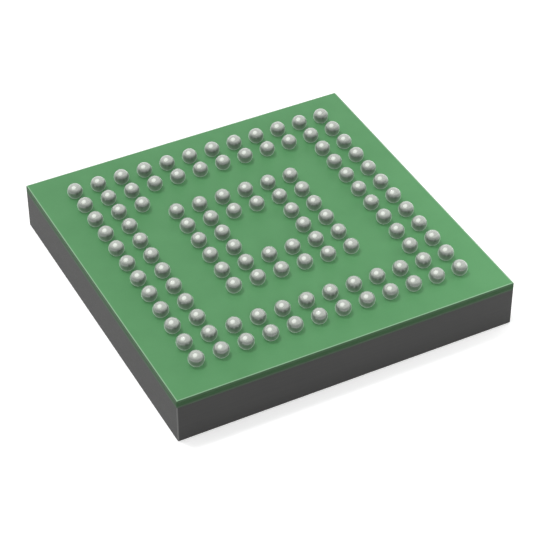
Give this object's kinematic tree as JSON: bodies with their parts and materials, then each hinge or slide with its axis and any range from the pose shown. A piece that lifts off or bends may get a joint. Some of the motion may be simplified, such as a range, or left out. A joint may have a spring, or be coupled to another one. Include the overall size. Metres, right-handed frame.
{
  "type": "microcontroller",
  "caption": "Square moulded ball grid array chip package lying on its marked face, with solder balls on a fine square grid over a green substrate.",
  "frame": {"origin": "centre of the moulded body's flat marked face, on which the package lies", "axes": "+Z out of the ball side, +X from ball row A to row M, +Y towards ball column 1, so the A1 corner is at -X +Y"},
  "size_m": [0.007, 0.007, 0.0013],
  "materials": {
    "moulding": "dark grey filled epoxy moulding compound, fine grain, matt",
    "solder_mask": "green solder mask, satin",
    "laminate": "sawn glass and resin laminate",
    "copper": "bright plated copper",
    "plug_resin": "filled resin, matt",
    "nickel_gold": "soft gold over nickel, satin",
    "die_attach": "adhesive film, matt",
    "silicon": "ground and polished silicon",
    "passivation": "thin clear film over the circuit, glossy",
    "pad_aluminium": "sputtered aluminium, satin",
    "gold_wire": "drawn gold, bright",
    "solder": "reflowed tin, silver and copper solder, smooth and slightly soft in its shine"
  },
  "bodies": {
    "root": {"moulded_body": "moulding", "ball_side_mask": "solder_mask", "die_side_mask": "solder_mask", "substrate_core": "laminate", "ball_lands": "copper", "bond_fingers": "copper", "ground_plane": "copper", "signal_via_barrels": "copper", "ground_via_barrels": "copper", "via_plugs": "plug_resin", "land_plating": "nickel_gold", "finger_plating": "nickel_gold", "ground_plating": "nickel_gold", "die_attach_film": "die_attach", "silicon_die": "silicon", "die_passivation": "passivation", "die_bond_pads": "pad_aluminium", "bond_wires_right": "gold_wire", "bond_wires_back": "gold_wire", "bond_wires_left": "gold_wire", "bond_wires_front": "gold_wire", "solder_balls_row_a": "solder", "solder_balls_row_b": "solder", "solder_balls_row_c": "solder", "solder_balls_row_d": "solder", "solder_balls_row_e": "solder", "solder_balls_row_f": "solder", "solder_balls_row_g": "solder", "solder_balls_row_h": "solder", "solder_balls_row_j": "solder", "solder_balls_row_k": "solder", "solder_balls_row_l": "solder", "solder_balls_row_m": "solder"}
  },
  "joints": []
}
